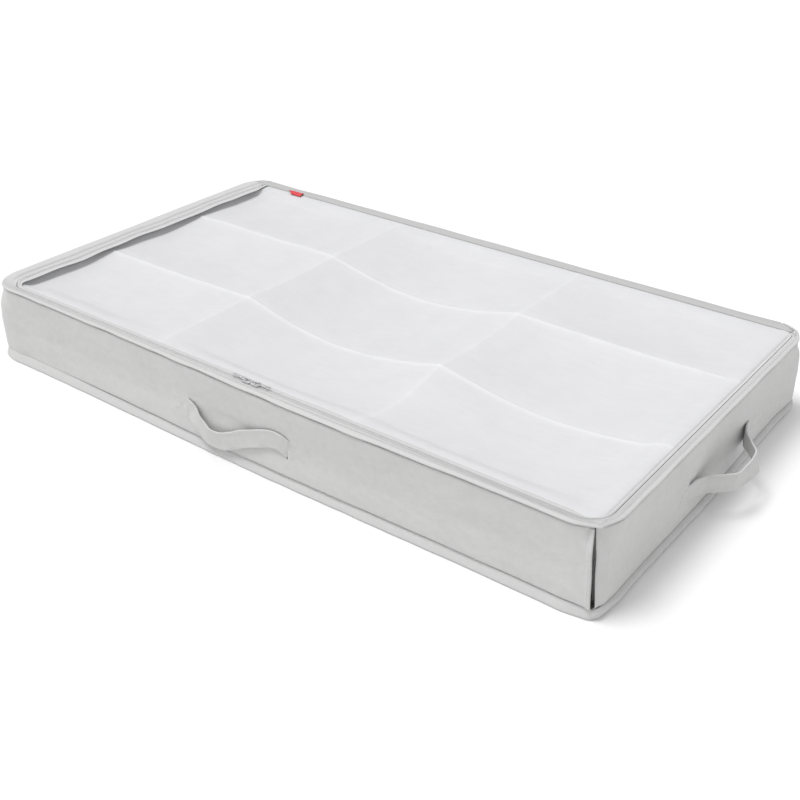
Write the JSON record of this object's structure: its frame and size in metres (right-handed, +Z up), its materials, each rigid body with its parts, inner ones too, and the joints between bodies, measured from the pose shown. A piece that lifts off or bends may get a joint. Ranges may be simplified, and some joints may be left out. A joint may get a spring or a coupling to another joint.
{
  "type": "under bed box",
  "caption": "Low fabric storage box with compartments, a zipped see-through sheet lid hinged at the back, and strap handles.",
  "frame": {"origin": "centre of the footprint, on the floor", "axes": "+X along the length, +Y towards the hinged back edge, +Z up"},
  "size_m": [1.079, 0.608, 0.123],
  "materials": {
    "cover_fabric": "spun-bonded, matt",
    "grey_board": "raw grey board",
    "lining_fabric": "spun-bonded, matt",
    "binding_tape": "folded tape, matt",
    "divider_fabric": "spun-bonded, matt",
    "zip_tape": "woven tape, matt",
    "zip_coil": "moulded nylon, satin",
    "strap_webbing": "folded strap, matt",
    "lid_sheet": "thin translucent spun-bonded, matt",
    "label_red": "woven, matt",
    "slider_metal": "grey painted die casting, satin"
  },
  "bodies": {
    "box": {"bottom_cover": "cover_fabric", "bottom_board": "grey_board", "bottom_lining": "lining_fabric", "wall_cover": "cover_fabric", "front_wall_board": "grey_board", "back_wall_board": "grey_board", "left_wall_board": "grey_board", "right_wall_board": "grey_board", "wall_lining": "lining_fabric", "bottom_binding": "binding_tape", "rim_binding": "binding_tape", "hinge_binding": "binding_tape", "corner_fold": "cover_fabric", "divider_long_front": "divider_fabric", "divider_long_back": "divider_fabric", "divider_cross_left": "divider_fabric", "divider_cross_right": "divider_fabric", "zip_tape_lower": "zip_tape", "zip_coil_lower": "zip_coil", "zip_end_stops": "slider_metal", "front_handle_tabs": "strap_webbing", "left_handle_tabs": "strap_webbing", "right_handle_tabs": "strap_webbing"},
    "lid": {"lid_sheet": "lid_sheet", "lid_hem": "lid_sheet", "zip_tape_upper": "zip_tape", "zip_coil_upper": "zip_coil", "lid_back_band": "binding_tape", "label_tab": "label_red"},
    "left_slider": {"slider_left": "slider_metal"},
    "right_slider": {"slider_right": "slider_metal"},
    "left_pull": {"pull_left": "slider_metal"},
    "right_pull": {"pull_right": "slider_metal"},
    "front_strap": {"front_handle": "strap_webbing"},
    "left_strap": {"left_handle": "strap_webbing"},
    "right_strap": {"right_handle": "strap_webbing"}
  },
  "joints": [
    {"name": "lid_hinge", "type": "hinge", "parent": "box", "child": "lid", "pos_m": [0, 0.2805, 0.1152], "axis": [-1, 0, 0], "range_deg": [0, 175]},
    {"name": "left_slider_run", "type": "slide", "parent": "lid", "child": "left_slider", "axis": [-1, 0, 0], "range_m": [0, 0.445]},
    {"name": "right_slider_run", "type": "slide", "parent": "lid", "child": "right_slider", "axis": [1, 0, 0], "range_m": [0, 0.42]},
    {"name": "left_pull_swing", "type": "hinge", "parent": "left_slider", "child": "left_pull", "pos_m": [0.00485, -0.275, 0.12075], "axis": [0, 1, 0], "range_deg": [0, 100]},
    {"name": "right_pull_swing", "type": "hinge", "parent": "right_slider", "child": "right_pull", "pos_m": [0.01915, -0.275, 0.12075], "axis": [0, -1, 0], "range_deg": [0, 100]},
    {"name": "front_handle_swing", "type": "hinge", "parent": "box", "child": "front_strap", "pos_m": [-0.008, -0.2815, 0.05], "axis": [-1, 0, 0], "range_deg": [0, 80]},
    {"name": "left_handle_swing", "type": "hinge", "parent": "box", "child": "left_strap", "pos_m": [-0.5015, 0.015, 0.05], "axis": [0, 1, 0], "range_deg": [-30, 55]},
    {"name": "right_handle_swing", "type": "hinge", "parent": "box", "child": "right_strap", "pos_m": [0.5015, 0.015, 0.05], "axis": [0, -1, 0], "range_deg": [-30, 55]}
  ]
}
